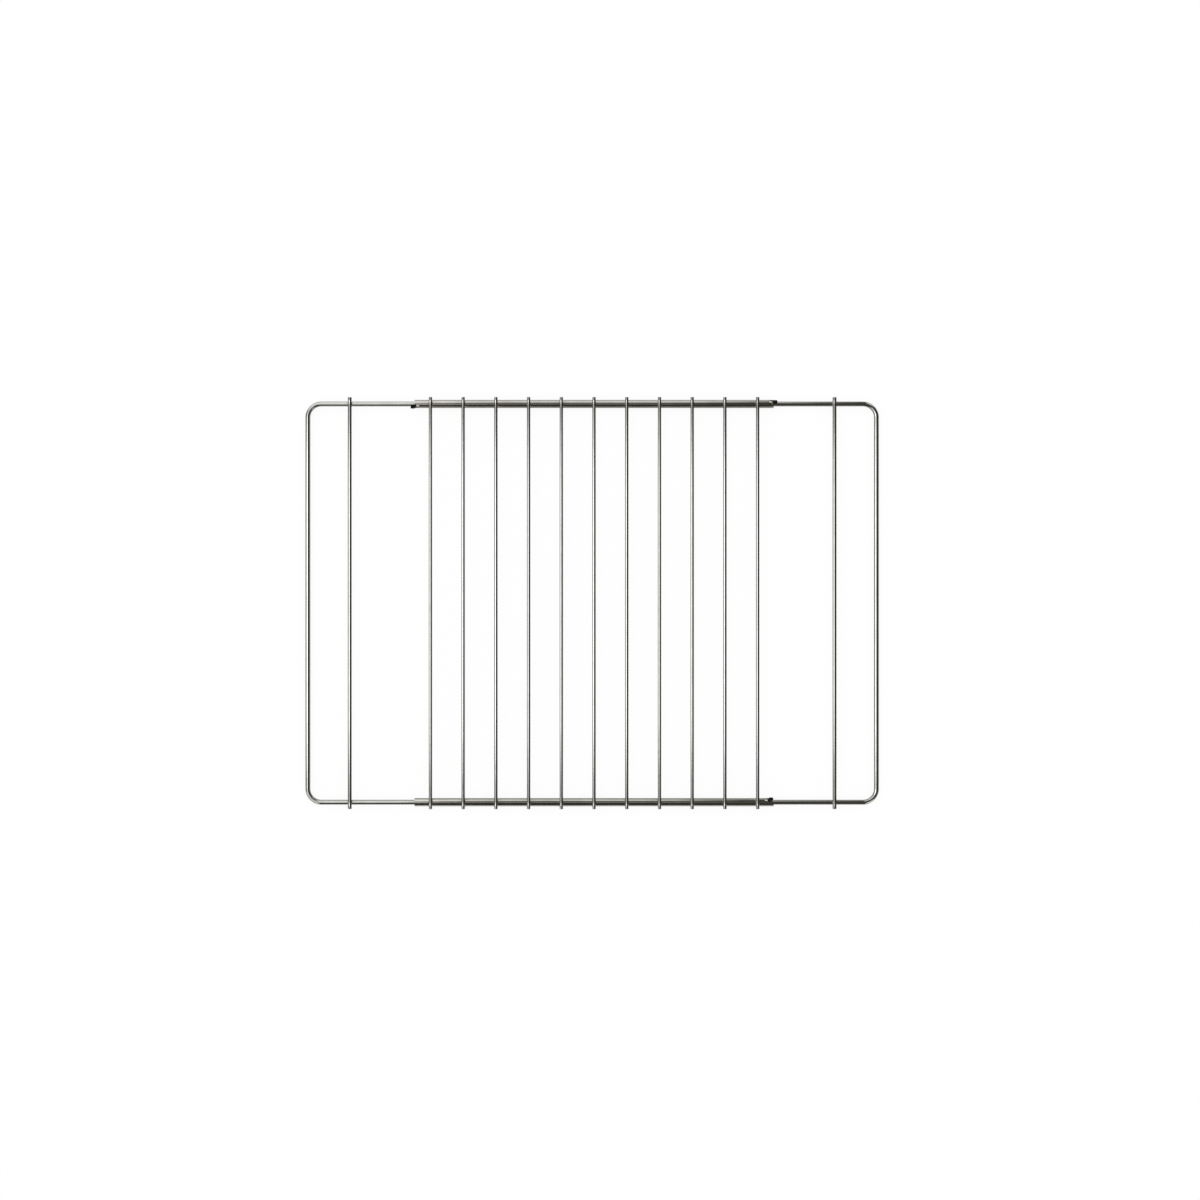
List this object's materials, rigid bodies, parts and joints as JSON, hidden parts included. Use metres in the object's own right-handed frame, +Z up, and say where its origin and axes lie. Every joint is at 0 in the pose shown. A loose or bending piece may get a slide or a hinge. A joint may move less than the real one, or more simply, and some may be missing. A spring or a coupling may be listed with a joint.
{
  "type": "extending oven shelf rack",
  "caption": "Flat wire oven shelf with a welded centre grid on two rail tubes and a U-shaped wire frame sliding in and out at each end to fit the oven width.",
  "frame": {"origin": "on the floor under the shelf, halfway between the side wires and between the rail tubes", "axes": "+X along the rail tubes towards the right frame, +Y towards the rear rail, +Z up out of the shelf"},
  "size_m": [0.4464, 0.32, 0.0087],
  "materials": {
    "rail_chrome": "bright chrome plate on drawn steel tube",
    "cross_wire_chrome": "bright chrome plate on drawn steel wire",
    "frame_wire_chrome": "bright chrome plate on bent steel wire"
  },
  "bodies": {
    "centre_grid": {"rear_rail_tube": "rail_chrome", "front_rail_tube": "rail_chrome", "cross_wire_01": "cross_wire_chrome", "cross_wire_02": "cross_wire_chrome", "cross_wire_03": "cross_wire_chrome", "cross_wire_04": "cross_wire_chrome", "cross_wire_05": "cross_wire_chrome", "cross_wire_06": "cross_wire_chrome", "cross_wire_07": "cross_wire_chrome", "cross_wire_08": "cross_wire_chrome", "cross_wire_09": "cross_wire_chrome", "cross_wire_10": "cross_wire_chrome", "cross_wire_11": "cross_wire_chrome"},
    "left_frame": {"left_frame_wire": "frame_wire_chrome", "left_end_wire": "cross_wire_chrome"},
    "right_frame": {"right_frame_wire": "frame_wire_chrome", "right_end_wire": "cross_wire_chrome"}
  },
  "joints": [
    {"name": "left_frame_slide", "type": "slide", "parent": "centre_grid", "child": "left_frame", "axis": [-1, 0, 0], "range_m": [-0.0454, 0.0565]},
    {"name": "right_frame_slide", "type": "slide", "parent": "centre_grid", "child": "right_frame", "axis": [1, 0, 0], "range_m": [-0.0425, 0.0561]}
  ]
}
